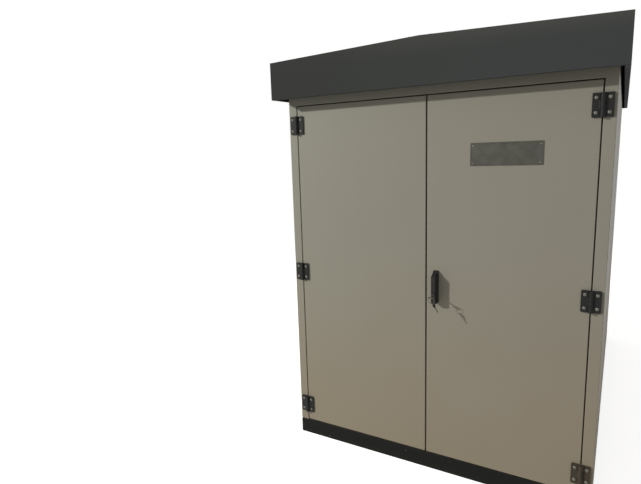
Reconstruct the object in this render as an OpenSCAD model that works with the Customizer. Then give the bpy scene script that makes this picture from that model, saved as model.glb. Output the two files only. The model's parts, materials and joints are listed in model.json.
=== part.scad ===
// Compact substation: sheet-steel housing with a low gabled canopy and a pair of front doors.
// The origin is the centre of the footprint at ground level, the doors face -Y and +Z is up.

/* [Housing] */
// Width of the housing across the doors
body_w = 1500; // [1200:10:2000]
// Depth of the housing from front to back
body_d = 2400; // [1600:10:3000]
// Height of the door and panel openings
opening_h = 1767; // [1400:1:2200]
// Height of the header above the openings
header_h = 192; // [150:1:260]
// Thickness of the folded steel sheet
sheet_t = 2; // [1.5:0.5:3]

/* [Frame] */
// Width of the frame face seen beside the doors
post_face = 46; // [36:1:60]
// Depth of the step that doors and panels sit in
rebate = 38; // [34:1:50]
// Width of the stop behind a door or panel edge
stop_w = 30; // [24:1:40]
// Depth of the stiffening edge behind each stop
stop_return = 22; // [12:1:30]
// Width of the face of a mullion between two panels
mullion_face = 40; // [30:1:60]

/* [Base] */
// Height of the base channels
base_h = 88; // [70:1:140]
// Width of the base channel flanges
base_flange = 80; // [76:1:110]
// Thickness of the base channels
base_t = 5; // [4:0.5:8]
// Number of cross members under the floor
cross_count = 3; // [1:2:5]
// Width of the cross member flanges
cross_flange = 40; // [30:1:60]
// Radius of the anchor holes in the base
anchor_r = 9; // [6:0.5:12]
// Distance of the anchor holes from the outside of the side channels
anchor_inset = 40; // [30:1:60]
// Distance of the anchor holes from the ends of the side channels
anchor_end = 200; // [120:1:400]
// Thickness of the floor plates
floor_t = 3; // [2:0.5:6]

/* [Doors] */
// Gap round the outside of the doors
door_gap = 5; // [5:0.5:8]
// Gap between the two doors
meeting_gap = 7; // [7:0.5:10]
// Depth of the folded door tray
door_depth = 25; // [20:1:27]
// Width of the lip folded in at the back of a tray
lip_w = 20; // [14:1:24]
// Height of a stiffener inside a door
stiffener_h = 70; // [40:1:100]
// Gap round each fixed panel
panel_gap = 3; // [2:0.5:5]

/* [Seals] */
// Width of the rubber seals
seal_w = 12; // [8:1:16]
// Thickness of the rubber seals
seal_t = 8; // [4:1:8]

/* [Hinges] */
// Height of a hinge
hinge_h = 93; // [60:1:120]
// Width of one hinge leaf
leaf_w = 38; // [28:1:44]
// Thickness of a hinge leaf
leaf_t = 7; // [3:0.5:8]
// Outside radius of the hinge knuckles
knuckle_r = 9; // [8:0.5:12]
// Radius of the hinge pin
pin_r = 4; // [3:0.5:5]
// Running clearance round the hinge pin
pin_clearance = 0.08; // [0.02:0.01:0.1]
// Gap between two knuckles
knuckle_gap = 0.6; // [0.3:0.1:1]
// Gap between a knuckle and the face of the frame
knuckle_off = 1; // [0.5:0.5:2]
// Distance of the end hinges from the top and bottom of a door
hinge_end = 95; // [70:1:200]

/* [Nameplate] */
// Width of the nameplate
plate_w = 300; // [150:1:400]
// Height of the nameplate
plate_h = 100; // [50:1:150]
// Thickness of the nameplate
plate_t = 1.5; // [1:0.5:3]
// Distance of the nameplate below the top of the door
plate_drop = 220; // [100:1:400]
// Distance of the nameplate from the edge of the door beside the meeting gap
plate_edge = 196; // [100:1:220]

/* [Handle] */
// Height of the handle housing
handle_h = 156; // [140:1:200]
// Width of the handle housing
handle_w = 26; // [22:1:32]
// Thickness of the handle housing
handle_base_t = 14; // [8:1:18]
// Distance that the grip stands out from the door
grip_out = 46; // [38:1:46]
// Width of the grip
grip_w = 20; // [16:1:22]
// Distance from the free edge of the door to the middle of the handle
handle_edge = 46; // [36:1:80]
// Height of the bottom of the handle above the bottom of the door
handle_z = 795; // [600:1:900]
// Distance of the handle pivot below the top of the handle
pivot_drop = 28; // [20:1:40]
// Gap between the grip and the handle housing
grip_gap = 3; // [2:0.5:5]
// Height of the chamfer at the lower end of the grip
grip_slope = 10; // [4:1:30]
// Depth of the chamfer at the lower end of the grip
grip_heel = 8; // [2:1:16]
// Height of the sloping upper end of the handle
grip_shoulder = 24; // [20:1:45]
// Radius of the handle spindle
spindle_r = 6; // [5:0.5:7]
// Running clearance round the spindle
spindle_clearance = 0.08; // [0.02:0.01:0.1]
// Radius of the lock barrel in the grip
lock_r = 7; // [5:0.5:8]
// Height of the lock above the bottom of the handle
lock_height = 42; // [36:1:70]
// Distance that the lock barrel stands out from the grip
lock_proud = 3; // [2:0.5:3]
// Length of the latch cam inside the door
cam_len = 44; // [30:1:60]
// Width of the latch cam
cam_w = 16; // [12:1:20]
// Thickness of the latch cam
cam_t = 4; // [3:0.5:6]
// Width of a key's head
key_w = 24; // [22:1:25]
// Length of the key seen between the lock and its head
key_stem = 23; // [16:1:24]
// Thickness of a key
key_t = 2.5; // [1.5:0.5:3]
// Width of a key's blade
blade_w = 7; // [5:1:9]
// Length of the spare key's blade
blade_len = 28; // [20:1:40]
// Radius of the hole in a key's head
key_hole_r = 4.5; // [4.3:0.1:4.8]
// Radius of the ring that joins the keys
ring_r = 14; // [10:0.5:14.5]
// Radius of the wire of the key ring
ring_wire = 1; // [0.8:0.1:1.1]
// Gap between the ring and the head of the key in the lock
ring_play = 0.25; // [0.1:0.05:0.5]
// Distance of the ring from the middle of the spare key's hole
spare_play = 3; // [1:0.1:3.1]
// Angle that the spare key swings out to the side
spare_swing = 30; // [0:1:60]

/* [Canopy] */
// Height of the side of the canopy
fascia_h = 182; // [140:1:240]
// Drop of the canopy below the top of the header
fascia_drop = 165; // [120:1:170]
// Overhang of the canopy at the front and back
overhang_front = 105; // [102:1:200]
// Overhang of the canopy at the sides
overhang_side = 35; // [25:1:120]
// Rise of the roof from the eaves to the ridge
roof_rise = 25; // [15:1:80]
// Width of the lip folded in at the bottom of the canopy
fascia_lip = 20; // [12:1:24]
// Width of the ridge cap
ridge_w = 120; // [80:1:200]
// Distance from the ends of the roof to the ridge cap
ridge_inset = 15; // [5:1:40]
// Distance from the front and back walls to the end bearers
bearer_inset = 150; // [90:1:300]
// Number of bearers under the roof
bearer_count = 4; // [2:1:6]
// Depth of a bearer below the top of the header
bearer_drop = 55; // [30:1:90]
// Width of the flange under a bearer
bearer_flange = 30; // [20:1:50]
// Thickness of a roof bearer
bearer_t = 3; // [2:0.5:5]

/* [Hidden] */
$fn = 48;

stop_out = rebate + stop_return;
frame_top = base_h + opening_h + header_h;
header_z = base_h + opening_h;
stop_bottom = base_h + stop_w;
stop_top = header_z - stop_w;
door_w = (body_w - 2 * post_face - 2 * door_gap - meeting_gap) / 2;
door_h = opening_h - 2 * door_gap;
door_z = base_h + door_gap;
floor_inset = stop_out + 2 * sheet_t;
fascia_z = frame_top - fascia_drop;
canopy_w = body_w + 2 * overhang_side;
canopy_d = body_d + 2 * overhang_front;
eave_z = fascia_z + fascia_h;

// Heights of the middle of each hinge
hinge_heights = [
    door_z + hinge_end, door_z + door_h / 2, door_z + door_h - hinge_end
];
knuckle_h = hinge_h / 3;
pin_out = knuckle_r + knuckle_off;

// The handle is drawn about its pivot, with z measured from there
right_door_x = body_w - post_face - door_gap - door_w;
handle_x = right_door_x + handle_edge;
handle_low = pivot_drop - handle_h;
pivot_z = door_z + handle_z - handle_low;
grip_back = handle_base_t + grip_gap;
lock_up = handle_low + lock_height;
lock_front = grip_out + lock_proud;
spindle_end = door_depth / 2;
hole_up = key_w / 4;

frame_color = [0.55, 0.53, 0.47];
canopy_color = [0.23, 0.24, 0.24];
base_color = [0.12, 0.12, 0.12];
black_color = [0.07, 0.07, 0.07];
steel_color = [0.60, 0.60, 0.58];
seal_color = [0.14, 0.14, 0.14];

// Folded sheet: a strip of thickness t whose outer face follows a path of points.
// The sheet lies on the left-hand side of the path.
function unit(v) = v / norm(v);
function inward(path, i) =
    let (d = unit(path[i + 1] - path[i]))
    [-d.y, d.x];
function inner_point(path, i, t) =
    i == 0 ? path[0] + t * inward(path, 0) :
    i == len(path) - 1 ? path[i] + t * inward(path, i - 1) :
    let (a = inward(path, i - 1), b = inward(path, i))
    path[i] + t * (a + b) / (1 + a * b);
function folded(path, t) =
    concat(path, [for (i = [len(path) - 1 : -1 : 0]) inner_point(path, i, t)]);

// Height of the top of the roof at a distance x from the middle
function roof_z(x) = eave_z + roof_rise * (1 - abs(x) / (canopy_w / 2));

// Length of one wall of the housing
function wall_len(side) = side == "front" || side == "back" ? body_w : body_d;

// Puts a piece drawn on a wall in its place. On the wall x runs along it from its left end as
// seen from outside, y runs inward from its face and z runs up.
module on_wall(side) {
    if (side == "front") translate([-body_w / 2, -body_d / 2, 0]) children();
    if (side == "right") translate([body_w / 2, -body_d / 2, 0]) rotate([0, 0, 90]) children();
    if (side == "back") translate([body_w / 2, body_d / 2, 0]) rotate([0, 0, 180]) children();
    if (side == "left") translate([-body_w / 2, body_d / 2, 0]) rotate([0, 0, -90]) children();
}

// Bar along x from an outline drawn with y inward and z up
module bar(length) {
    rotate([90, 0, 90]) linear_extrude(length) children();
}

// Plan of a bar with mitred ends, as a prism
module mitre(length, width, height) {
    linear_extrude(height) polygon([
        [0, 0], [length, 0], [length - width, width], [width, width]
    ]);
}

// Shallow tray folded from one sheet, with a lip all round its open back
module tray(width, height, depth) {
    difference() {
        cube([width, depth, height]);
        translate([sheet_t, sheet_t, sheet_t])
            cube([width - 2 * sheet_t, depth - 2 * sheet_t, height - 2 * sheet_t]);
        translate([lip_w, depth - 2 * sheet_t, lip_w])
            cube([width - 2 * lip_w, 3 * sheet_t, height - 2 * lip_w]);
    }
}

// Channel of the base frame under one wall, mitred at its ends
module base_channel(side) {
    length = wall_len(side);
    drilled = side == "left" || side == "right";
    color(base_color) on_wall(side) difference() {
        intersection() {
            bar(length) polygon([
                [0, 0], [base_flange, 0], [base_flange, base_t], [base_t, base_t],
                [base_t, base_h - base_t], [base_flange, base_h - base_t],
                [base_flange, base_h], [0, base_h]
            ]);
            mitre(length, base_flange, base_h);
        }
        if (drilled)
            for (x = [anchor_end, length - anchor_end])
                translate([x, anchor_inset, -base_t])
                    cylinder(h = 3 * base_t, r = anchor_r);
    }
}

// Channels across the base that carry the floor
module base_cross_members() {
    length = body_w - 2 * base_flange;
    spacing = body_d / (cross_count + 1);
    color(base_color)
        for (i = [1 : cross_count])
            translate([-length / 2, -body_d / 2 + i * spacing - cross_flange / 2, 0])
                bar(length) polygon([
                    [0, 0], [cross_flange, 0], [cross_flange, base_t], [base_t, base_t],
                    [base_t, base_h - base_t], [cross_flange, base_h - base_t],
                    [cross_flange, base_h], [0, base_h]
                ]);
}

// Two floor plates that meet over the middle cross member
module floor_plates() {
    width = body_w - 2 * floor_inset;
    depth = body_d / 2 - floor_inset - panel_gap / 2;
    color(steel_color)
        for (y = [floor_inset - body_d / 2, panel_gap / 2])
            translate([-width / 2, y, base_h])
                cube([width, depth, floor_t]);
}

// Corner post with a step for the door or panel on each of its two walls
module corner_post(side) {
    edge = post_face + stop_w;
    color(frame_color) on_wall(side)
        translate([0, 0, base_h])
            linear_extrude(frame_top - base_h) polygon(folded([
                [stop_out, edge], [rebate, edge], [rebate, post_face], [0, post_face],
                [0, 0], [post_face, 0], [post_face, rebate], [edge, rebate],
                [edge, stop_out]
            ], sheet_t));
}

// Header over the openings of one wall, notched round the corner posts
module header(side) {
    length = wall_len(side);
    edge = post_face + stop_w;
    color(frame_color) on_wall(side) intersection() {
        bar(length) polygon(folded([
            [stop_out, frame_top], [0, frame_top], [0, header_z], [rebate, header_z],
            [rebate, stop_top], [stop_out, stop_top]
        ], sheet_t));
        linear_extrude(frame_top) polygon([
            [post_face, 0], [length - post_face, 0], [length - post_face, rebate],
            [length - edge, rebate], [length - edge, stop_out], [edge, stop_out],
            [edge, rebate], [post_face, rebate]
        ]);
    }
}

// Stop under the opening of each wall, standing on the base
module frame_sills() {
    edge = post_face + stop_w;
    color(frame_color)
        for (side = ["front", "right", "back", "left"])
            on_wall(side) translate([edge, 0, 0])
                bar(wall_len(side) - 2 * edge) polygon(folded([
                    [stop_out, stop_bottom], [rebate, stop_bottom], [rebate, base_h],
                    [stop_out, base_h]
                ], sheet_t));
}

// Post behind the meeting edges of the two doors
module door_post() {
    color(frame_color) on_wall("front")
        translate([body_w / 2, 0, stop_bottom])
            linear_extrude(stop_top - stop_bottom) polygon(folded([
                [-stop_w, stop_out], [-stop_w, rebate], [stop_w, rebate], [stop_w, stop_out]
            ], sheet_t));
}

// Mullion between the two panels of a wall, with a step on each side
module mullion(side) {
    half = mullion_face / 2;
    edge = half + stop_w;
    section = folded([
        [-edge, stop_out], [-edge, rebate], [-half, rebate], [-half, 0], [half, 0],
        [half, rebate], [edge, rebate], [edge, stop_out]
    ], sheet_t);
    color(frame_color) on_wall(side) translate([wall_len(side) / 2, 0, 0]) {
        translate([0, 0, base_h])
            linear_extrude(opening_h) intersection() {
                polygon(section);
                translate([-half, 0]) square([mullion_face, rebate]);
            }
        translate([0, 0, stop_bottom])
            linear_extrude(stop_top - stop_bottom) intersection() {
                polygon(section);
                translate([-edge, rebate]) square([2 * edge, stop_return]);
            }
    }
}

// Fixed wall panel; place 0 is the one at the wall's left end as seen from outside
module panel(side, place) {
    bay = (wall_len(side) - 2 * post_face - mullion_face) / 2;
    color(frame_color) on_wall(side)
        translate([post_face + panel_gap + place * (bay + mullion_face), 0, base_h + panel_gap])
            tray(bay - 2 * panel_gap, opening_h - 2 * panel_gap, rebate);
}

// Rubber seal on the stops behind each door
module door_seals() {
    inset = (lip_w - seal_w) / 2;
    width = door_w - 2 * inset;
    height = door_h - 2 * inset;
    first = post_face + door_gap + inset;
    color(seal_color) on_wall("front")
        for (x = [first, first + door_w + meeting_gap])
            translate([x, rebate - seal_t, door_z + inset])
                difference() {
                    cube([width, seal_t, height]);
                    translate([seal_w, -seal_t, seal_w])
                        cube([width - 2 * seal_w, 3 * seal_t, height - 2 * seal_w]);
                }
}

// Bearers that stand on the side headers and carry the roof sheets
module roof_bearers() {
    half = body_w / 2;
    inner = half - floor_inset;
    low = frame_top - bearer_drop;
    span = body_d - 2 * bearer_inset;
    color(frame_color)
        for (i = [0 : bearer_count - 1])
            translate([0, i * span / (bearer_count - 1) - span / 2 + bearer_t / 2, 0]) {
                rotate([90, 0, 0]) linear_extrude(bearer_t) polygon([
                    [-inner, low], [inner, low], [inner, frame_top], [half, frame_top],
                    [half, roof_z(half) - sheet_t], [0, roof_z(0) - sheet_t],
                    [-half, roof_z(half) - sheet_t], [-half, frame_top], [-inner, frame_top]
                ]);
                translate([-inner, -bearer_t, low])
                    cube([2 * inner, bearer_flange, bearer_t]);
            }
}

// Roof sheet on one side of the ridge; hand is -1 on the left and 1 on the right
module roof_sheet(hand) {
    edge = canopy_w / 2;
    color(canopy_color) translate([0, canopy_d / 2, 0])
        rotate([90, 0, 0]) linear_extrude(canopy_d) polygon([
            [0, roof_z(0) - sheet_t], [hand * edge, eave_z - sheet_t], [hand * edge, eave_z],
            [0, roof_z(0)]
        ]);
}

// Folded cap over the joint of the two roof sheets
module ridge_cap() {
    edge = ridge_w / 2;
    color(canopy_color) translate([0, canopy_d / 2 - ridge_inset, 0])
        rotate([90, 0, 0]) linear_extrude(canopy_d - 2 * ridge_inset) polygon([
            [-edge, roof_z(edge)], [0, roof_z(0)], [edge, roof_z(edge)],
            [edge, roof_z(edge) + sheet_t], [0, roof_z(0) + sheet_t],
            [-edge, roof_z(edge) + sheet_t]
        ]);
}

// Gabled fascia across the front or back; turn is 0 at the front and 180 at the back
module end_fascia(turn) {
    edge = canopy_w / 2;
    color(canopy_color) rotate([0, 0, turn]) translate([0, -canopy_d / 2, 0]) {
        translate([0, sheet_t, 0]) rotate([90, 0, 0]) linear_extrude(sheet_t) polygon([
            [-edge, fascia_z], [edge, fascia_z], [edge, eave_z - sheet_t],
            [0, roof_z(0) - sheet_t], [-edge, eave_z - sheet_t]
        ]);
        translate([-edge, 0, fascia_z]) mitre(canopy_w, fascia_lip, sheet_t);
    }
}

// Fascia along a side; turn is 90 at the right and -90 at the left
module side_fascia(turn) {
    height = fascia_h - sheet_t;
    color(canopy_color) rotate([0, 0, turn]) translate([-canopy_d / 2, -canopy_w / 2, fascia_z]) {
        translate([sheet_t, 0, 0]) cube([canopy_d - 2 * sheet_t, sheet_t, height]);
        intersection() {
            mitre(canopy_d, fascia_lip, sheet_t);
            translate([sheet_t, 0, 0]) cube([canopy_d - 2 * sheet_t, fascia_lip, sheet_t]);
        }
    }
}

// Puts a piece drawn about a hinge pin, with the door to its right, at each hinge of a door
module at_hinges(hand) {
    pin_x = body_w / 2 - post_face - door_gap / 2;
    for (z = hinge_heights)
        translate([hand * pin_x, -body_d / 2 - pin_out, z - hinge_h / 2])
            mirror([hand > 0 ? 1 : 0, 0, 0]) children();
}

// Flat of a hinge leaf, from the pin out to its far edge and back to the face behind it
module leaf_flat() {
    translate([0, pin_out - leaf_t, 0]) cube([leaf_w, leaf_t, hinge_h]);
}

// Hinge leaves on the frame, with their end knuckles and the pin
module hinges_frame(hand) {
    color(black_color) at_hinges(hand) {
        difference() {
            union() {
                mirror([1, 0, 0]) leaf_flat();
                cylinder(h = hinge_h, r = knuckle_r);
            }
            translate([0, 0, knuckle_h - knuckle_gap])
                difference() {
                    cylinder(h = knuckle_h + 2 * knuckle_gap, r = knuckle_r + knuckle_gap);
                    translate([0, 0, -1]) cylinder(h = hinge_h, r = pin_r);
                }
        }
    }
}

// Hinge leaves on a door, with their middle knuckle bored for the pin
module hinges_door(hand) {
    room_r = knuckle_r + knuckle_gap;
    color(black_color) at_hinges(hand) difference() {
        union() {
            leaf_flat();
            translate([0, 0, knuckle_h]) cylinder(h = knuckle_h, r = knuckle_r);
        }
        for (z = [-knuckle_gap, 2 * knuckle_h])
            translate([0, 0, z]) cylinder(h = knuckle_h + knuckle_gap, r = room_r);
        cylinder(h = hinge_h, r = pin_r + pin_clearance);
    }
}

// Folded sheet door; the right one is drilled for the handle spindle
module door(hand) {
    x = hand < 0 ? post_face + door_gap : right_door_x;
    color(frame_color) on_wall("front") difference() {
        translate([x, 0, door_z]) tray(door_w, door_h, door_depth);
        if (hand > 0)
            translate([handle_x, sheet_t * 2, pivot_z])
                rotate([90, 0, 0]) cylinder(h = 3 * sheet_t, r = 1.5 * spindle_r);
    }
}

// Two channels welded across the inside of a door
module door_stiffeners(hand) {
    x = hand < 0 ? post_face + door_gap : right_door_x;
    back = door_depth - 1.5 * sheet_t;
    color(frame_color) on_wall("front")
        for (i = [1, 2])
            translate([x + sheet_t, 0, door_z + i * door_h / 3 - stiffener_h / 2])
                bar(door_w - 2 * sheet_t) polygon(folded([
                    [sheet_t, 0], [back, 0], [back, stiffener_h], [sheet_t, stiffener_h]
                ], sheet_t));
}

// Blank plate near the top of the right door
module nameplate() {
    color(steel_color) on_wall("front")
        translate([right_door_x + plate_edge, -plate_t, door_z + door_h - plate_drop - plate_h])
            cube([plate_w, plate_t, plate_h]);
}

// Puts a piece drawn about the handle pivot on the face of the right door
module at_handle() {
    on_wall("front") translate([handle_x, 0, pivot_z]) children();
}

// Height of the sloping top of the handle at a distance out from the door
function slope_up(out) = pivot_drop - grip_shoulder * out / grip_out;

// Housing of the handle, bored for the spindle
module handle_housing() {
    color(black_color) at_handle() difference() {
        translate([-handle_w / 2, 0, 0]) bar(handle_w) polygon([
            [-handle_base_t, handle_low], [0, handle_low], [0, pivot_drop],
            [-handle_base_t, slope_up(handle_base_t)]
        ]);
        translate([0, handle_base_t, 0])
            rotate([90, 0, 0]) cylinder(h = 3 * handle_base_t, r = spindle_r + spindle_clearance);
    }
}

// Turning grip with its spindle and lock barrel
module handle_grip() {
    color(black_color) at_handle() {
        translate([-grip_w / 2, 0, 0]) bar(grip_w) polygon([
            [-grip_back, handle_low], [-grip_back, slope_up(grip_back)],
            [-grip_out, slope_up(grip_out)], [-grip_out, handle_low + grip_slope],
            [grip_heel - grip_out, handle_low]
        ]);
        translate([0, spindle_end, 0]) rotate([90, 0, 0])
            cylinder(h = spindle_end + grip_back + grip_gap, r = spindle_r);
        translate([0, -grip_back, lock_up]) rotate([90, 0, 0])
            cylinder(h = lock_front - grip_back, r = lock_r);
    }
}

// Cam on the end of the spindle, inside the door
module latch_cam() {
    color(steel_color) at_handle()
        translate([-cam_w / 2, spindle_end, -cam_len / 2])
            cube([cam_w, cam_t, cam_len]);
}

// Key with its head round the origin, the hole above that and the blade below it
module key_shape(reach) {
    root = key_w * 3 / 8;
    translate([-key_t / 2, 0, 0]) rotate([0, 90, 0]) difference() {
        cylinder(h = key_t, r = key_w / 2);
        translate([-hole_up, 0, -key_t]) cylinder(h = 3 * key_t, r = key_hole_r);
    }
    translate([-key_t / 2, -blade_w / 2, -root - reach]) cube([key_t, blade_w, reach]);
}

// Key in the lock with its head flat, and a spare key that swings from it on a ring.
// The ring goes down through the hole and up round the right-hand rim of the head.
module key() {
    head_out = lock_front + key_stem + key_w / 2;
    head_side = sqrt(pow(key_w / 2, 2) - pow(hole_up, 2));
    rim_x = (head_side + key_hole_r) / 2;
    rim_half = (head_side - key_hole_r) / 2;
    ring_drop = sqrt(pow(ring_r - ring_wire, 2) - pow(rim_half, 2)) - key_t / 2 - ring_play;
    color(steel_color) at_handle() {
        translate([0, -head_out, lock_up]) rotate([90, 90, 0])
            key_shape(key_stem + key_w / 8);
        translate([rim_x, -head_out - hole_up, lock_up - ring_drop]) {
            rotate([90, 0, 0]) rotate_extrude() translate([ring_r, 0]) circle(r = ring_wire);
            rotate([0, -spare_swing, 0]) translate([0, 0, -ring_r - spare_play - hole_up])
                key_shape(blade_len);
        }
    }
}

base_channel("front");  // base_channel_front
base_channel("back");  // base_channel_back
base_channel("left");  // base_channel_left
base_channel("right");  // base_channel_right
base_cross_members();
floor_plates();
corner_post("front");  // post_front_left
corner_post("right");  // post_front_right
corner_post("left");  // post_back_left
corner_post("back");  // post_back_right
header("front");  // header_front
header("back");  // header_back
header("left");  // header_left
header("right");  // header_right
frame_sills();
door_post();
mullion("left");  // mullion_left
mullion("right");  // mullion_right
mullion("back");  // mullion_back
panel("left", 1);  // panel_left_front
panel("left", 0);  // panel_left_back
panel("right", 0);  // panel_right_front
panel("right", 1);  // panel_right_back
panel("back", 1);  // panel_back_left
panel("back", 0);  // panel_back_right
door_seals();
roof_bearers();
roof_sheet(-1);  // roof_sheet_left
roof_sheet(1);  // roof_sheet_right
ridge_cap();
end_fascia(0);  // fascia_front
end_fascia(180);  // fascia_back
side_fascia(-90);  // fascia_left
side_fascia(90);  // fascia_right
hinges_frame(-1);  // hinges_left_frame
hinges_frame(1);  // hinges_right_frame
door(-1);  // door_left
door_stiffeners(-1);  // door_left_stiffeners
hinges_door(-1);  // hinges_left_door
door(1);  // door_right
door_stiffeners(1);  // door_right_stiffeners
hinges_door(1);  // hinges_right_door
nameplate();
handle_housing();
handle_grip();
latch_cam();
key();
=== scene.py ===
import json
import math

import bmesh
import bpy
from mathutils import Matrix, Vector


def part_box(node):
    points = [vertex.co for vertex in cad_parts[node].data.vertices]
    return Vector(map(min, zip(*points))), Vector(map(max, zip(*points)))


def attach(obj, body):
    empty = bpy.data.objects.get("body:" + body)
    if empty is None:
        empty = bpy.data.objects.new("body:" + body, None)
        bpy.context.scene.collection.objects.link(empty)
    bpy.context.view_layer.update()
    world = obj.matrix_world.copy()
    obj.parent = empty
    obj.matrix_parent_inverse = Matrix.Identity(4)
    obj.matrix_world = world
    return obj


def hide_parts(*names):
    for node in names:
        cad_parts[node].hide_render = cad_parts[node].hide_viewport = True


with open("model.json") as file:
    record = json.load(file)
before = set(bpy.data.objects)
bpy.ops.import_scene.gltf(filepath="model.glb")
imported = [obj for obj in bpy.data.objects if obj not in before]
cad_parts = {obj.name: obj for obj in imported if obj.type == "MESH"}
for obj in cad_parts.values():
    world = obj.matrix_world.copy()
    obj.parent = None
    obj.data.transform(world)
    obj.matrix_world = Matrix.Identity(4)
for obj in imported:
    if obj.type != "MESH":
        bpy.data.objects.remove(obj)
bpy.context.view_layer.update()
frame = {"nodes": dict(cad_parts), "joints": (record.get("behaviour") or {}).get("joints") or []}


# ------------------------------------------------------------------ Base channels
# Four 5 mm steel channels folded on a press brake, mitred and welded into a frame.
# They are brushed with black paint, which chips and takes up mud near the ground.

class Wire:
    """The value of one socket in a material. Arithmetic on it adds Math nodes."""

    def __init__(self, finish, socket):
        self.finish = finish
        self.socket = socket

    def math(self, operation, *values):
        """Result of one Math node on these values."""
        return self.finish.node("Math", {"operation": operation}, dict(enumerate(values)))

    def __add__(self, other):
        return self.math("ADD", self, other)

    def __sub__(self, other):
        return self.math("SUBTRACT", self, other)

    def __rsub__(self, other):
        return self.math("SUBTRACT", other, self)

    def __mul__(self, other):
        return self.math("MULTIPLY", self, other)

    __radd__ = __add__
    __rmul__ = __mul__


class Finish:
    """The nodes of one finish. Lengths are metres in the piece's own space."""

    def __init__(self, material):
        material.use_nodes = True
        self.material = material
        self.tree = material.node_tree
        self.tree.nodes.clear()
        self.place = self.node("TexCoord", output="Object")
        self.height = self.along("Z")

    def node(self, kind, settings=None, inputs=None, output=0):
        """Adds a node: first its settings, then the values or links of its sockets."""
        made = self.tree.nodes.new("ShaderNode" + kind)
        for name, value in (settings or {}).items():
            setattr(made, name, value)
        for name, value in (inputs or {}).items():
            if isinstance(value, Wire):
                self.tree.links.new(value.socket, made.inputs[name])
            else:
                made.inputs[name].default_value = value
        if made.outputs:
            return Wire(self, made.outputs[output])

    def along(self, axis):
        """Distance of the surface along one axis."""
        return self.node("SeparateXYZ", inputs={"Vector": self.place}, output=axis)

    def facing_up(self):
        """1 on faces that look up, where dust settles, and 0 on walls."""
        normal = self.node("TexCoord", output="Normal")
        upward = self.node("SeparateXYZ", inputs={"Vector": normal}, output="Z")
        return self.rise(upward, 0.45, 0.95)

    def grain(self, patches, detail=2.0, stretch=(1, 1, 1)):
        """Cloudy noise from 0 to 1, with so many patches to a metre."""
        vector = self.node(
            "VectorMath", {"operation": "MULTIPLY"}, {0: self.place, 1: stretch}
        )
        return self.node(
            "TexNoise", inputs={"Vector": vector, "Scale": patches, "Detail": detail}
        )

    def rise(self, value, start, end):
        """0 at start, 1 at end, and smooth in between."""
        return self.node(
            "MapRange", {"interpolation_type": "SMOOTHSTEP"},
            {"Value": value, "From Min": start, "From Max": end},
        )

    def mix(self, mask, under, over):
        """Colour that goes from under to over as the mask goes from 0 to 1."""
        return self.node("Mix", {"data_type": "RGBA"}, {0: mask, 6: under, 7: over}, output=2)

    def shade(self, colour, factor):
        """Colour made darker or lighter by a factor."""
        return self.node(
            "Mix", {"data_type": "RGBA", "blend_type": "MULTIPLY"},
            {0: 1.0, 6: colour, 7: factor}, output=2,
        )

    def bump(self, relief, depth, over=None):
        """Relief as deep as depth where its value goes from 0 to 1, over another one."""
        inputs = {"Height": relief, "Distance": depth}
        if over is not None:
            inputs["Normal"] = over
        return self.node("Bump", inputs=inputs)

    def surface(self, sockets):
        """Closes the finish with the shader that these sockets feed."""
        shader = self.node("BsdfPrincipled", inputs=sockets)
        self.node("OutputMaterial", inputs={"Surface": shader})


def coating(name):
    """Empty finish on a material of its own."""
    return Finish(bpy.data.materials.new(name))


def card(red, green, blue):
    """Colour-card values from 0 to 255 as the linear colour that a shader takes."""
    def linear(value):
        """One of the three as a share of full light."""
        value /= 255
        return value / 12.92 if value <= 0.04045 else ((value + 0.055) / 1.055) ** 2.4
    return (linear(red), linear(green), linear(blue), 1.0)


# How near two points are one, and the chamfer that filing a burr off leaves.
same_place = 0.00001
burr = 0.0004


def is_cut(face, sheet):
    """True for the narrow face that is left where a sheet was cut."""
    return 2 * face.calc_area() / face.calc_perimeter() < 1.3 * sheet


def copied(node):
    """Shape of a node with whole flat faces."""
    shape = bmesh.new()
    shape.from_mesh(frame["nodes"][node].data)
    bmesh.ops.remove_doubles(shape, verts=shape.verts, dist=same_place)
    bmesh.ops.dissolve_limit(shape, angle_limit=0.01, verts=shape.verts, edges=shape.edges)
    return shape


def round_off(shape, edges, radius, steps):
    """Rounds these edges by a radius in so many steps. One step is a chamfer."""
    bmesh.ops.bevel(
        shape, geom=edges, offset=radius, offset_type="OFFSET", segments=steps, profile=0.5,
        affect="EDGES",
    )


def take_edge_off(shape, ease):
    """Small chamfer on every edge that turns by more than about 50 degrees."""
    sharp = [
        edge for edge in shape.edges if edge.is_manifold and edge.calc_face_angle() > 0.9
    ]
    round_off(shape, sharp, ease, steps=1)


def folded(node, sheet, bend):
    """Copy of a folded node whose bends have the outside radius bend, with its burrs off."""
    shape = copied(node)
    for outside, radius in ((True, bend), (False, bend - sheet)):
        bends = [
            edge for edge in shape.edges
            if edge.is_manifold and edge.is_convex == outside
            and edge.calc_face_angle() > 0.2 and edge.calc_length() > 2 * sheet
            and not any(is_cut(face, sheet) for face in edge.link_faces)
        ]
        if radius > 0:
            round_off(shape, bends, radius, steps=4)
    take_edge_off(shape, burr)
    return shape


def fit(name, shape, finish, body, slot, *nodes):
    """Makes a shape into a piece of a body, in place of the nodes that it stands for."""
    mesh = bpy.data.meshes.new(name)
    shape.to_mesh(mesh)
    shape.free()
    mesh.shade_smooth()
    mesh.set_sharp_from_angle(angle=math.radians(40))
    mesh.materials.append(finish.material)
    piece = bpy.data.objects.new(name, mesh)
    bpy.context.scene.collection.objects.link(piece)
    piece.modifiers.new("flats", "WEIGHTED_NORMAL").keep_sharp = True
    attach(piece, body)
    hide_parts(*nodes)


base_sheet = 0.005
base_bend = 0.009
# Where the paint was knocked off: across, height and size.
knocks = ((-0.566, 0.017, 0.006), (-0.107, 0.062, 0.005), (0.127, 0.066, 0.004))

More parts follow.
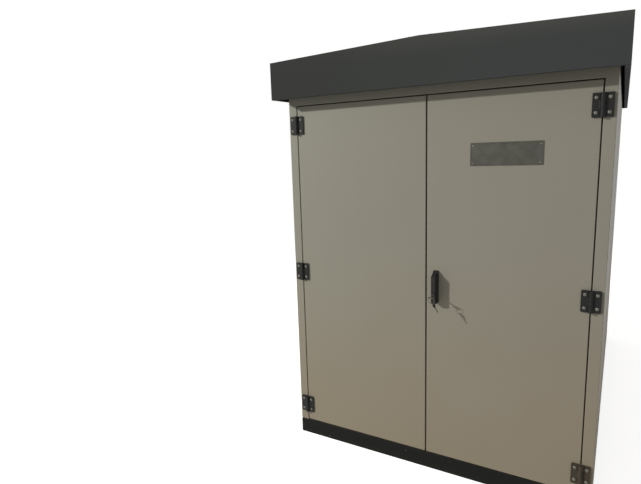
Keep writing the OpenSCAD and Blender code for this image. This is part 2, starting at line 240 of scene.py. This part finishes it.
base_paint = coating("base_paint")
brushing = base_paint.grain(14, 3, stretch=(0.4, 0.4, 6))
mud = base_paint.rise(base_paint.height + 0.05 * base_paint.grain(9, 4), 0.065, 0.015)
settled = base_paint.facing_up() * base_paint.rise(base_paint.grain(30, 4), 0.25, 0.7)
chips = base_paint.rise(base_paint.grain(55, 3), 0.73, 0.75)
for x, z, size in knocks:
    knock = (x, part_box("base_channel_front")[0].y, z)
    aside = base_paint.node(
        "VectorMath", {"operation": "DISTANCE"}, {0: base_paint.place, 1: knock},
        output="Value",
    )
    chips += base_paint.rise(aside + 0.004 * base_paint.grain(300, 2), size, 0.5 * size)
coated = base_paint.shade(card(17, 18, 16), 0.8 + 0.4 * brushing)
dirty = base_paint.mix(0.2 * mud + 0.5 * settled, coated, card(66, 61, 52))
base_paint.surface({
    "Base Color": base_paint.mix(chips, dirty, card(118, 112, 98)),
    "Roughness": 0.62 + 0.2 * mud + 0.1 * brushing,
    "Specular IOR Level": 0.12,
    "Normal": base_paint.bump(
        base_paint.grain(600, 2), 0.00004, over=base_paint.bump(brushing, 0.0006)
    ),
})

for side in ("front", "back", "left", "right"):
    node = f"base_channel_{side}"
    fit(f"{node}_folded", folded(node, base_sheet, base_bend), base_paint, "housing",
        "base_paint", node)


# ------------------------------------------------------------------ Corner welds
# A run of weld up each corner of the base, where two channels meet in a mitre. Each
# bead lies on the one below it like a fish scale, and the paint covers all of them.

weld_width = 0.0045
weld_sunk = 0.0014
bead_pitch = 0.0028
bead_flat = 0.6
first_bead = 0.003
weld_short = 0.004

low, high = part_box("base_channel_front")
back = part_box("base_channel_back")[1].y
welds = bmesh.new()
for x in (low.x, high.x):
    for y in (low.y, back):
        for step in range(int((high.z - weld_short) / bead_pitch)):
            height = first_bead + step * bead_pitch
            # The beads beside the bends at foot and top follow their rounding inward.
            in_bend = max(base_bend - min(height, high.z - height), 0)
            inset = weld_sunk + base_bend - math.sqrt(base_bend ** 2 - in_bend ** 2)
            bead = Matrix.Translation((
                x - math.copysign(inset, x), y - math.copysign(inset, y), height
            ))
            bmesh.ops.create_uvsphere(
                welds, u_segments=12, v_segments=6, radius=weld_width / 2,
                matrix=bead @ Matrix.Diagonal((1, 1, bead_flat, 1)),
            )
fit("corner_welds", welds, base_paint, "housing", "base_paint")


# ------------------------------------------------------------------ Cross members and floor
# Three channels across the base carry two loose floor plates of galvanised steel. The
# zinc has a spangle, and shoes and rain have left dust and dull marks on it.

filed_edge = 0.0006


def dress(node, finish, ease):
    """Gives a node its finish and takes the sharpness off its edges by a small radius."""
    piece = frame["nodes"][node]
    for place in piece.material_slots:
        place.material = finish.material
    weld = piece.modifiers.new("weld", "WELD")
    weld.merge_threshold = same_place
    bevel = piece.modifiers.new("eased", "BEVEL")
    bevel.width = ease
    bevel.segments = 3
    bevel.limit_method = "ANGLE"
    bevel.angle_limit = math.radians(35)
    bevel.harden_normals = True


fit("base_cross_members_folded", folded("base_cross_members", base_sheet, base_bend),
    base_paint, "housing", "base_paint", "base_cross_members")

galvanised = coating("galvanised")
spangle = galvanised.node(
    "TexVoronoi", inputs={"Vector": galvanised.place, "Scale": 70.0, "Randomness": 1.0},
    output="Color",
)
tone = galvanised.node("SeparateXYZ", inputs={"Vector": spangle}, output="X")
trodden = galvanised.rise(galvanised.grain(5, 5), 0.35, 0.7)
zinc = galvanised.shade(card(158, 160, 158), 0.82 + 0.3 * tone)
galvanised.surface({
    "Base Color": galvanised.mix(0.55 * trodden, zinc, card(120, 112, 98)),
    "Metallic": 0.95 - 0.75 * trodden,
    "Roughness": 0.34 + 0.12 * tone + 0.3 * trodden,
    "Normal": galvanised.bump(galvanised.grain(260, 3), 0.00005),
})
dress("floor_plates", galvanised, filed_edge)


# ------------------------------------------------------------------ Frame
# Corner posts, headers, sills, mullions and the middle post of the doors, all folded
# from 2 mm sheet, welded together and coated with pebble grey powder paint.

sheet = 0.002
bend = 0.002


def powder_coat(name, colour, left_end_light_tint, dust, gloss, mirror, film, film_rise, left_film):
    """Baked powder paint: orange peel, slow waves of the sheet, streaks and settled dust.

    The film of dust on walls comes in between the two heights of film_rise, and is as
    strong as left_film, from 0 to 1, at the left end of the piece. Towards the left end
    the colour also turns to left_end_light_tint, which is painted light and shade.
    """
    coat = coating(name)
    cloud = coat.grain(1.7, 4)
    streaks = coat.grain(26, 3, stretch=(1, 1, 0.035))
    specks = coat.rise(coat.grain(140, 2), 0.70, 0.78)
    start, end = film_rise
    ragged = 0.4 * abs(end - start)
    clinging = coat.rise(coat.height + ragged * (coat.grain(2.3, 5) - 0.5), start, end)
    settled = coat.facing_up() * coat.rise(coat.grain(7, 6), 0.2, 0.75)
    # Painted light and shade: from the right end to the left, the colour shifts to
    # left_end_light_tint, following how the light falls across the front. On the canopy the same
    # mask also fades the dust film out at the left end.
    left_end_lighting = coat.rise(coat.along("X") + 0.25 * (cloud - 0.5), 0.7, -0.95)
    toned = coat.shade(
        coat.mix(left_end_lighting, colour, left_end_light_tint), 0.955 + 0.06 * cloud + 0.03 * streaks
    )
    marked = coat.shade(toned, 1 - 0.12 * specks)
    dusted = film * clinging * (1 - (1 - left_film) * left_end_lighting) + 0.6 * settled
    peel = coat.grain(520, 1.5)
    waves = coat.grain(2.1, 1)
    coat.surface({
        "Base Color": coat.mix(dusted, marked, dust),
        "Roughness": gloss + 0.08 * cloud + 0.35 * dusted,
        "Specular IOR Level": mirror,
        "Normal": coat.bump(peel, 0.00003, over=coat.bump(waves, 0.004)),
    })
    return coat


# Painted light: this coat turns a little lighter and cooler towards its left end, where the
# light on the front is stronger.
housing_paint = powder_coat(
    "housing_paint", card(136, 132, 120), card(137, 135, 123), card(137, 120, 96),
    gloss=0.44, mirror=0.2, film=0.5, film_rise=(1.3, 0.0), left_film=1.0,
)
FRAME_NODES = (
    "post_front_left", "post_front_right", "post_back_left", "post_back_right",
    "header_front", "header_back", "header_left", "header_right", "frame_sills",
    "door_post", "mullion_left", "mullion_right", "mullion_back",
)
for node in FRAME_NODES:
    fit(f"{node}_folded", folded(node, sheet, bend), housing_paint, "housing",
        "housing_paint", node)


# ------------------------------------------------------------------ Ground seams
# The headers are butt welded to the corner posts. Each seam is ground flush before the
# paint, so it shows as a faint flat strip in the groove beside the bend of the post.

seam_width = 0.0042
seam_deep = 0.0022
seam_back = 0.00025
seam_tall = 0.19
seam_below = 0.096
seam_ease = 0.0005

low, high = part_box("header_front")
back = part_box("header_back")[1].y
header_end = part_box("header_right")[1]
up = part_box("post_front_left")[1].z - seam_below
inset = seam_back + seam_deep / 2
seam_spots = [
    (hand * high.x, face - math.copysign(inset, face), seam_width, seam_deep)
    for hand in (-1, 1) for face in (low.y, back)
] + [
    (hand * (header_end.x - inset), end * header_end.y, seam_deep, seam_width)
    for hand in (-1, 1) for end in (-1, 1)
]
seams = bmesh.new()
for x, y, wide, deep in seam_spots:
    size = Matrix.Diagonal((wide, deep, seam_tall, 1))
    bmesh.ops.create_cube(seams, size=1, matrix=Matrix.Translation((x, y, up)) @ size)
take_edge_off(seams, seam_ease)
fit("header_seams", seams, housing_paint, "housing", "housing_paint")


# ------------------------------------------------------------------ Wall panels
# Six trays folded from 2 mm sheet, each set in its own opening against the stops. They
# are bolted from inside, so nothing but the tray shows from outside.

# Each panel with the direction from it into the housing, in X and Y.
PANELS = {
    "panel_left_front": (1, 0), "panel_left_back": (1, 0), "panel_right_front": (-1, 0),
    "panel_right_back": (-1, 0), "panel_back_left": (0, -1), "panel_back_right": (0, -1),
}
for node in PANELS:
    fit(f"{node}_folded", folded(node, sheet, bend), housing_paint, "housing",
        "housing_paint", node)


# ------------------------------------------------------------------ Panel bolts
# Zinc-plated flange bolts through the stops into the lips of the panels, seven up each
# upright edge. Their heads show inside the housing when the doors are open.

def ring(shape, outline, size, up, count):
    """One loop of points round the axis. The outline gives a radius for each direction."""
    points = []
    for i in range(count):
        turn = 2 * math.pi * i / count
        radius = size * outline(turn)
        points.append(shape.verts.new((radius * math.cos(turn), radius * math.sin(turn), up)))
    return points


def wall(shape, lower, upper):
    """Faces all the way round between two loops of points."""
    for i in range(len(lower)):
        j = (i + 1) % len(lower)
        shape.faces.new((lower[i], lower[j], upper[j], upper[i]))


def turned(rings, count=24):
    """Solid of revolution, or nearly: rings are (outline, size, height) from the foot up."""
    shape = bmesh.new()
    loops = [ring(shape, outline, size, up, count) for outline, size, up in rings]
    for lower, upper in zip(loops, loops[1:]):
        wall(shape, lower, upper)
    shape.faces.new(reversed(loops[0]))
    shape.faces.new(loops[-1])
    mesh = bpy.data.meshes.new("pattern")
    shape.to_mesh(mesh)
    shape.free()
    return mesh


def add_copy(shape, pattern, place):
    """Adds a copy of a pattern to a shape, moved and turned by a matrix."""
    first = len(shape.verts)
    shape.from_mesh(pattern)
    shape.verts.ensure_lookup_table()
    bmesh.ops.transform(shape, matrix=place, verts=shape.verts[first:])


def placed(pattern, spots):
    """Copies of a pattern at each spot, a point with the direction that its top faces."""
    shape = bmesh.new()
    for point, facing in spots:
        turn = Vector(facing).to_track_quat("Z", "Y").to_matrix().to_4x4()
        add_copy(shape, pattern, Matrix.Translation(point) @ turn)
    return shape


def round_outline(turn):
    """Outline of anything round."""
    return 1.0


def hexagon(turn):
    """Outline of a hexagon, whose size is half its width across the flats."""
    return 1 / math.cos((turn + math.pi / 6) % (math.pi / 3) - math.pi / 6)


bolt_across = 0.010
bolt_edge = 0.012
bolt_end = 0.09
bolts_up = 7

zinc_plate = coating("zinc_plate")
handled = zinc_plate.rise(zinc_plate.grain(240, 3), 0.35, 0.75)
zinc_plate.surface({
    "Base Color": zinc_plate.mix(handled, card(128, 126, 117), card(88, 84, 74)),
    "Metallic": 0.8 - 0.4 * handled,
    "Roughness": 0.4 + 0.3 * handled,
    "Normal": zinc_plate.bump(zinc_plate.grain(3000, 1), 0.00001),
})
# The flange, then the head on top of it.
bolt = turned([
    (round_outline, 0.0078, 0.0), (round_outline, 0.0078, 0.0012),
    (round_outline, 0.0062, 0.0018), (hexagon, bolt_across / 2, 0.0018),
    (hexagon, bolt_across / 2, 0.0062), (round_outline, bolt_across / 2 - 0.0004, 0.0068),
])
spots = []
for node, (x_in, y_in) in PANELS.items():
    low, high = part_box(node)
    for i in range(bolts_up):
        up = low.z + bolt_end + i * (high.z - low.z - 2 * bolt_end) / (bolts_up - 1)
        for edge in (bolt_edge, -bolt_edge):
            if x_in:
                x = (high.x if x_in > 0 else low.x) + x_in * sheet
                y = (low.y if edge > 0 else high.y) + edge
            else:
                x = (low.x if edge > 0 else high.x) + edge
                y = low.y + y_in * sheet
            spots.append(((x, y, up), (x_in, y_in, 0)))
fit("panel_bolts", placed(bolt, spots), zinc_plate, "housing", "plated_steel")


# ------------------------------------------------------------------ Door seals
# Black rubber sections glued to the stops, so that each closed door presses on one
# all the way round. They are dull, with a little dust in the pores.

seal_ease = 0.003

rubber = coating("rubber")
pores = rubber.grain(900, 3)
dusty = rubber.rise(rubber.grain(18, 4), 0.45, 0.8)
rubber.surface({
    "Base Color": rubber.mix(
        0.35 * dusty, rubber.shade(card(30, 30, 29), 0.8 + 0.4 * pores), card(96, 90, 78)
    ),
    "Roughness": 0.62 + 0.2 * dusty,
    "Specular IOR Level": 0.3,
    "Normal": rubber.bump(pores, 0.00006),
})
dress("door_seals", rubber, seal_ease)


# ------------------------------------------------------------------ Roof
# Four bearers cut from 3 mm sheet carry two roof sheets, with a folded cap over the
# ridge. The canopy is powder coated dark grey, with painted shade darkening its left
# end, and has a film of pale dust on top.

tight_bend = 0.0018
roof_sheet_ease = 0.0004
ridge_cap_ease = 0.0005

# Painted shade: the second colour makes the canopy coat darker towards its left end, and the
# pale film fades out there.
canopy_paint = powder_coat(
    "canopy_paint", card(62.5, 65, 64.5), card(50, 51.5, 49.5), card(112, 108, 97),
    gloss=0.68, mirror=0.07, film=0.17, film_rise=(2.0, 2.085), left_film=0.0,
)
dress("roof_bearers", housing_paint, filed_edge)
for node in ("roof_sheet_left", "roof_sheet_right"):
    dress(node, canopy_paint, roof_sheet_ease)
dress("ridge_cap", canopy_paint, ridge_cap_ease)
for side in ("front", "back", "left", "right"):
    node = f"fascia_{side}"
    fit(f"{node}_folded", folded(node, sheet, tight_bend), canopy_paint, "housing",
        "canopy_paint", node)


# ------------------------------------------------------------------ Roof rivets
# Painted blind rivets hold the roof sheets to the fascias and the cap to the sheets,
# a hand's length apart along every edge.

rivet_pitch = 0.15
rivet_edge = 0.012
end_rivets = 4

# A low dome with the dimple that the broken mandrel leaves.
rivet = turned([
    (round_outline, 0.0042, -0.0004), (round_outline, 0.0042, 0.0003),
    (round_outline, 0.0034, 0.0009), (round_outline, 0.0016, 0.0013),
    (round_outline, 0.0011, 0.0008),
], count=16)
cap_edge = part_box("ridge_cap")[1].x
spots = []
for hand in ("left", "right"):
    low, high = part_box(f"roof_sheet_{hand}")
    outer, toward = (low.x, 1) if hand == "left" else (high.x, -1)
    fall = (high.z - low.z - sheet) / (high.x - low.x)
    facing = (-toward * fall, 0, 1)
    lines = ((outer + toward * rivet_edge, 0.0), (-toward * (cap_edge - rivet_edge), sheet))
    rows = round((high.y - low.y - 2 * rivet_edge) / rivet_pitch)
    for x, above in lines:
        up = high.z - fall * abs(x) + above
        for i in range(rows + 1):
            y = low.y + rivet_edge + i * (high.y - low.y - 2 * rivet_edge) / rows
            spots.append(((x, y, up), facing))
    reach = abs(outer) - 2 * rivet_edge - rivet_pitch / 2
    for i in range(1, end_rivets + 1):
        x = outer + toward * (rivet_edge + i * reach / (end_rivets + 1))
        for y in (low.y + rivet_edge, high.y - rivet_edge):
            spots.append(((x, y, high.z - fall * abs(x)), facing))
fit("roof_rivets", placed(rivet, spots), canopy_paint, "housing", "canopy_paint")


# ------------------------------------------------------------------ Hinges
# Three black die-cast hinges to a door. The frame leaf has the two end knuckles and
# the pin, the door leaf the middle one, and each leaf is held by two pan-head screws.

hinge_height = 0.093
leaf_reach = 0.038
leaf_thick = 0.007
leaf_round = 0.004
leaf_square = 0.0005
leaf_ease = 0.0014
knuckle_radius = 0.009
knuckle_out = 0.010
knuckle_play = 0.0006
knuckle_ease = 0.0005
screw_out = 0.0235
screw_end = 0.018

die_cast = coating("die_cast")
pebbled = die_cast.grain(1400, 2)
rubbed = die_cast.rise(die_cast.grain(70, 4), 0.62, 0.8)
road_dust = (
    die_cast.rise(die_cast.height + 0.2 * die_cast.grain(40, 4), 0.75, 0.1)
    * die_cast.rise(die_cast.along("X"), 0.0, 0.6)
)
blacked = die_cast.mix(0.3 * rubbed, card(26, 27, 26), card(64, 64, 62))
die_cast.surface({
    "Base Color": die_cast.mix(0.5 * road_dust, blacked, card(90, 78, 62)),
    "Roughness": 0.5 + 0.1 * pebbled + 0.25 * road_dust,
    "Specular IOR Level": 0.2,
    "Normal": die_cast.bump(pebbled, 0.00005),
})


def prism(shape, outline, bottom, top, ease):
    """Upright bar with this outline, seen from above, and its ends eased."""
    floor = [shape.verts.new((x, y, bottom)) for x, y in outline]
    roof = [shape.verts.new((x, y, top)) for x, y in outline]
    ends = [shape.faces.new(reversed(floor)), shape.faces.new(roof)]
    wall(shape, floor, roof)
    round_off(shape, [edge for face in ends for edge in face.edges], ease, steps=2)


def arc(centre, radius, start, end, count):
    """Points round an arc, with its angles in degrees."""
    turns = [math.radians(start + (end - start) * i / count) for i in range(count + 1)]
    return [
        (centre[0] + radius * math.cos(turn), centre[1] + radius * math.sin(turn))
        for turn in turns
    ]


def hinge_half(knuckles):
    """Half a hinge drawn about its pin: the leaf reaches to +X and lies against +Y."""
    shape = bmesh.new()
    face = knuckle_out
    top = knuckle_out - leaf_thick
    inner = knuckle_radius + 2 * knuckle_play
    plate = []
    for x, z, radius, start in (
        (leaf_reach - leaf_round, hinge_height - leaf_round, leaf_round, 0),
        (inner + leaf_square, hinge_height - leaf_square, leaf_square, 90),
        (inner + leaf_square, leaf_square, leaf_square, 180),
        (leaf_reach - leaf_round, leaf_round, leaf_round, 270),
    ):
        plate += arc((x, z), radius, start, start + 90, 6)
    under = [shape.verts.new((x, face, z)) for x, z in plate]
    over = [shape.verts.new((x, top, z)) for x, z in plate]
    rim = shape.faces.new(over)
    shape.faces.new(reversed(under))
    wall(shape, under, over)
    round_off(shape, list(rim.edges), leaf_ease, steps=3)
    # The knuckle grows out of the leaf over a hollow throat and then runs round the pin.
    neck = [(inner + 0.004, face), (inner + 0.004, top + 0.0004)]
    throat = [(inner + 0.0015, top - 0.0006), (inner - 0.0002, top - 0.0024)]
    barrel = arc((0, 0), knuckle_radius, -5, -285, 38)
    outline = neck + throat + barrel + [(0.006, face - 0.0003)]
    for bottom, end in knuckles:
        prism(shape, outline, bottom, end, knuckle_ease)
    bmesh.ops.recalc_face_normals(shape, faces=shape.faces)
    return shape


def pins(hand):
    """Middle of the pin in each of the three hinges of a door."""
    joint = next(j for j in frame["joints"] if j["name"] == f"{hand}_door_hinge")
    pin = Vector(joint["pos_m"])
    low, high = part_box(f"hinges_{hand}_frame")
    heights = (low.z + hinge_height / 2, pin.z, high.z - hinge_height / 2)
    return [(pin.x, pin.y, height) for height in heights]


def at_hinges(pattern, hand):
    """Copies of a hinge half at the three hinges of a door."""
    shape = bmesh.new()
    for x, y, z in pins(hand):
        add_copy(shape, pattern, Matrix.Translation((x, y, z - hinge_height / 2)))
    return shape


def cross(turn):
    """Outline of a cross recess whose arms are a third as wide as they are long."""
    long_side = max(abs(math.cos(turn)), abs(math.sin(turn)))
    short_side = min(abs(math.cos(turn)), abs(math.sin(turn)))
    return min(1 / long_side, 0.32 / max(short_side, 0.0001))


# A pan head with the cross recess sunk in its top.
screw = turned([
    (round_outline, 0.0066, 0.0), (round_outline, 0.0071, 0.0005),
    (round_outline, 0.0069, 0.0016), (round_outline, 0.0058, 0.0029),
    (round_outline, 0.0044, 0.0035), (cross, 0.0038, 0.0037), (cross, 0.0033, 0.0014),
], count=40)

third = hinge_height / 3
frame_knuckles = ((0, third - knuckle_play), (2 * third + knuckle_play, hinge_height))
door_knuckles = ((third, 2 * third),)
for hand, side, body in (("left", 1, "left_door"), ("right", -1, "right_door")):
    halves = (
        (f"hinges_{hand}_frame", "housing", -side, frame_knuckles),
        (f"hinges_{hand}_door", body, side, door_knuckles),
    )
    for node, rider, reach, knuckles in halves:
        half = hinge_half(knuckles)
        if reach < 0:
            bmesh.ops.scale(half, vec=(-1, 1, 1), verts=half.verts)
            bmesh.ops.reverse_faces(half, faces=half.faces)
        pattern = bpy.data.meshes.new("pattern")
        half.to_mesh(pattern)
        half.free()
        fit(f"{node}_cast", at_hinges(pattern, hand), die_cast, rider, "hinge_black", node)
        spots = [
            ((x + reach * screw_out, y + knuckle_out - leaf_thick, z + up), (0, -1, 0))
            for x, y, z in pins(hand)
            for up in (screw_end - hinge_height / 2, hinge_height / 2 - screw_end)
        ]
        fit(f"{node}_screws", placed(screw, spots), zinc_plate, rider, "plated_steel")


# ------------------------------------------------------------------ Doors
# Two trays folded from 2 mm sheet, with lips folded in all round the back and two
# channels welded across the inside. They are coated like the frame.

for hand in ("left", "right"):
    for node in (f"door_{hand}", f"door_{hand}_stiffeners"):
        fit(f"{node}_folded", folded(node, sheet, bend), housing_paint, f"{hand}_door",
            "housing_paint", node)


# ------------------------------------------------------------------ Nameplate
# A blank plate of brushed aluminium with an engraved border line, riveted to the right
# door at its four corners. Weather has dulled it to a flat grey.

plate_corner = 0.004
inner_corner = 0.001
border_in = 0.006
border_wide = 0.0015
border_deep = 0.0004
plate_ease = 0.0003


def rounded_box(width, height, corner):
    """Points round a rectangle about the origin whose corners are rounded."""
    points = []
    for sx, sy, start in ((1, 1, 0), (-1, 1, 90), (-1, -1, 180), (1, -1, 270)):
        centre = (sx * (width / 2 - corner), sy * (height / 2 - corner))
        points += arc(centre, corner, start, start + 90, 5)
    return points


low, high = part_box("nameplate")
centre = (low + high) / 2
thick = high.y - low.y
plate = bmesh.new()
steps = (
    (0.0, 0.0), (0.0, thick - plate_ease), (plate_ease, thick), (border_in, thick),
    (border_in + plate_ease, thick - border_deep),
    (border_in + border_wide - plate_ease, thick - border_deep),
    (border_in + border_wide, thick),
)
loops = []
for inset, out in steps:
    outline = rounded_box(
        high.x - low.x - 2 * inset, high.z - low.z - 2 * inset,
        max(plate_corner - inset, inner_corner),
    )
    loops.append([
        plate.verts.new((centre.x + x, high.y - out, centre.z + z)) for x, z in outline
    ])
for outer, inner in zip(loops, loops[1:]):
    wall(plate, outer, inner)
plate.faces.new(loops[-1])
plate.faces.new(reversed(loops[0]))
bmesh.ops.recalc_face_normals(plate, faces=plate.faces)

aluminium = coating("aluminium")
brushed = aluminium.grain(700, 2, stretch=(0.012, 1, 1))
weathered = aluminium.rise(aluminium.grain(24, 5), 0.3, 0.8)
bare = aluminium.shade(card(82, 81, 75), 0.86 + 0.28 * brushed)
aluminium.surface({
    "Base Color": aluminium.mix(0.6 * weathered, bare, card(70, 68, 61)),
    "Metallic": 0.6 - 0.4 * weathered,
    "Roughness": 0.5 + 0.12 * brushed + 0.2 * weathered,
    "Specular IOR Level": 0.2,
    "Normal": aluminium.bump(brushed, 0.00001),
})
fit("nameplate_engraved", plate, aluminium, "right_door", "plate_aluminium", "nameplate")

rivet_in = 0.012
plate_rivet = turned([
    (round_outline, 0.0030, -0.0003), (round_outline, 0.0030, 0.0004),
    (round_outline, 0.0022, 0.0011), (round_outline, 0.0009, 0.0014),
], count=20)
spots = [
    ((x, low.y, z), (0, -1, 0))
    for x in (low.x + rivet_in, high.x - rivet_in)
    for z in (low.z + rivet_in, high.z - rivet_in)
]
fit("nameplate_rivets", placed(plate_rivet, spots), zinc_plate, "right_door",
    "plated_steel")


# ------------------------------------------------------------------ Handle
# A black moulded housing screwed through the right door, with a grip that turns on a
# spindle. The spindle carries a plated cam that catches behind the middle post.

handle_housing_ease = 0.0016
grip_ease = 0.0018

moulded = coating("moulded")
skin = moulded.grain(1900, 2)
greasy = moulded.rise(moulded.grain(45, 3), 0.4, 0.75)
moulded.surface({
    "Base Color": moulded.mix(
        0.35 * greasy, moulded.shade(card(27, 27, 26), 0.9 + 0.2 * skin), card(46, 43, 38)
    ),
    "Roughness": 0.56 - 0.12 * greasy,
    "Specular IOR Level": 0.22,
    "Normal": moulded.bump(skin, 0.00004),
})
dress("handle_housing", moulded, handle_housing_ease)
dress("handle_grip", moulded, grip_ease)
dress("latch_cam", zinc_plate, filed_edge)


# ------------------------------------------------------------------ Lock and keys
# The lock barrel has a worn nickel plate, like the keys and their ring. One key is in the
# lock, all of metal. The spare hangs from the ring and has a black moulded head.

lock_above = 0.042
barrel_radius = 0.0072
key_head = 0.02352
spare_swing = math.radians(30)

nickel = coating("nickel")
worn = nickel.rise(nickel.grain(420, 4), 0.3, 0.8)
nickel.surface({
    "Base Color": nickel.mix(worn, card(116, 112, 102), card(78, 74, 65)),
    "Metallic": 1.0 - 0.3 * worn,
    "Roughness": 0.3 + 0.2 * worn,
    "Normal": nickel.bump(nickel.grain(5000, 1), 0.000005),
})


def solids(shape):
    """The points of each separate solid of a shape."""
    found = []
    seen = set()
    for start in shape.verts:
        if start not in seen:
            seen.add(start)
            points = [start]
            for point in points:
                for edge in point.link_edges:
                    other = edge.other_vert(point)
                    if other not in seen:
                        seen.add(other)
                        points.append(other)
            found.append(points)
    return found


def keys(wants_head):
    """The head of the spare key, or all the rest of the two keys and their ring."""
    shape = copied("key")
    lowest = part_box("key")[0].z
    hanging = Vector((math.sin(spare_swing), 0, -math.cos(spare_swing)))
    for points in solids(shape):
        is_spare = min(point.co.z for point in points) < lowest + 0.001
        if is_spare:
            neck = min(point.co @ hanging for point in points) + key_head
            inside = set(points)
            edges = [edge for edge in shape.edges if edge.verts[0] in inside]
            faces = [face for face in shape.faces if face.verts[0] in inside]
            cut = bmesh.ops.bisect_plane(
                shape, geom=points + edges + faces, plane_co=hanging * neck, plane_no=hanging,
                clear_inner=not wants_head, clear_outer=wants_head,
            )
            rim = [part for part in cut["geom_cut"] if isinstance(part, bmesh.types.BMEdge)]
            bmesh.ops.holes_fill(shape, edges=rim)
        elif wants_head:
            bmesh.ops.delete(shape, geom=points, context="VERTS")
    take_edge_off(shape, burr)
    return shape


fit("keys_metal", keys(wants_head=False), nickel, "handle", "plated_steel", "key")
fit("spare_key_head", keys(wants_head=True), moulded, "handle", "handle_black")

# The barrel reaches into the grip, and its rim stands round a sunk face.
barrel = turned([
    (round_outline, barrel_radius, -0.0034), (round_outline, barrel_radius, -0.0004),
    (round_outline, barrel_radius - 0.0005, 0.0001),
    (round_outline, barrel_radius - 0.0016, 0.0001),
    (round_outline, barrel_radius - 0.0019, -0.0003),
], count=40)
low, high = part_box("handle_grip")
lock = ((low.x + high.x) / 2, low.y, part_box("handle_housing")[0].z + lock_above)
fit("lock_barrel", placed(barrel, [(lock, (0, -1, 0))]), nickel, "handle", "plated_steel")


# ------------------------------------------------------------------ Studio
# A pale round floor that fades to white at its rim, one soft lamp from the front left,
# even light from all round, and a white background behind everything.

def light_path_mask(finish):
    """1 for rays that see the background, directly or in a reflection, and 0 for light."""
    seen = finish.node("LightPath", output="Is Camera Ray")
    mirrored = finish.node("LightPath", output="Is Glossy Ray")
    through = finish.node("LightPath", output="Is Transmission Ray")
    return finish.node("Clamp", inputs={"Value": seen + mirrored + through})


near = 3.2
far = 7.0
floor_below = 0.0005
floor_glow = 0.74
even_light = 0.38

ground = coating("ground")
out = ground.node("VectorMath", {"operation": "LENGTH"}, {0: ground.place}, output="Value")
pale = ground.node("BsdfDiffuse", inputs={"Color": (0.82, 0.82, 0.81, 1.0)})
glow = ground.node(
    "Emission",
    inputs={"Color": (1, 1, 1, 1), "Strength": floor_glow * light_path_mask(ground)},
)
lit = ground.node("AddShader", inputs={0: pale, 1: glow})
blank = ground.node(
    "Emission", inputs={"Color": (1, 1, 1, 1), "Strength": light_path_mask(ground)}
)
ground.node("OutputMaterial", inputs={"Surface": ground.node(
    "MixShader", inputs={0: ground.rise(out, near, far), 1: lit, 2: blank}
)})

floor_disc = bmesh.new()
bmesh.ops.create_circle(
    floor_disc, cap_ends=True, radius=far, segments=96,
    matrix=Matrix.Translation((0, 0, -floor_below)),
)
floor_mesh = bpy.data.meshes.new("ground")
floor_disc.to_mesh(floor_mesh)
floor_disc.free()
floor_mesh.materials.append(ground.material)
floor_piece = bpy.data.objects.new("ground", floor_mesh)
bpy.context.scene.collection.objects.link(floor_piece)

around = Finish(bpy.data.worlds.new("around"))
bpy.context.scene.world = around.material
even = around.node(
    "Background", inputs={"Color": (1.0, 0.99, 0.97, 1.0), "Strength": even_light}
)
white = around.node("Background", inputs={"Color": (1, 1, 1, 1), "Strength": 1.0})
around.node("OutputWorld", inputs={"Surface": around.node(
    "MixShader", inputs={0: light_path_mask(around), 1: even, 2: white}
)})

lamp_place = Vector((-8.8, -8.7, 6.1))
lamp_target = Vector((0.05, -1.2, 1.0))
lamp_data = bpy.data.lights.new("key_lamp", "AREA")
lamp_data.shape = "DISK"
lamp_data.size = 0.42
lamp_data.energy = 1290.0
lamp_data.color = (1.0, 0.99, 0.965)
lamp = bpy.data.objects.new("key_lamp", lamp_data)
lamp.location = lamp_place
lamp.rotation_mode = "QUATERNION"
lamp.rotation_quaternion = (lamp_target - lamp_place).to_track_quat("-Z", "Y")
bpy.context.scene.collection.objects.link(lamp)


# ------------------------------------------------------------------ Camera
# At a standing person's eye level, in front of the right door, turned to the left and a
# little down. It leans slightly to one side, as a camera does when it is held by hand.

eye = Vector((0.7786, -3.4694, 1.605))
turn_left = math.radians(30.99)
look_down = math.radians(-9.93)
roll = math.radians(1.92)
camera_data = bpy.data.cameras.new("camera")
camera_data.sensor_width = 36.0
camera_data.sensor_fit = "HORIZONTAL"
camera_data.lens = 28.235
camera = bpy.data.objects.new("camera", camera_data)
aim = (
    Matrix.Rotation(turn_left, 3, "Z") @ Matrix.Rotation(look_down, 3, "X")
    @ Matrix.Rotation(roll, 3, "Y")
)
right, forward, up = aim.col
pose = Matrix((right, up, -forward)).transposed().to_4x4()
camera.matrix_world = Matrix.Translation(eye) @ pose
bpy.context.scene.collection.objects.link(camera)
bpy.context.scene.camera = camera
bpy.context.scene.view_settings.view_transform = "Standard"
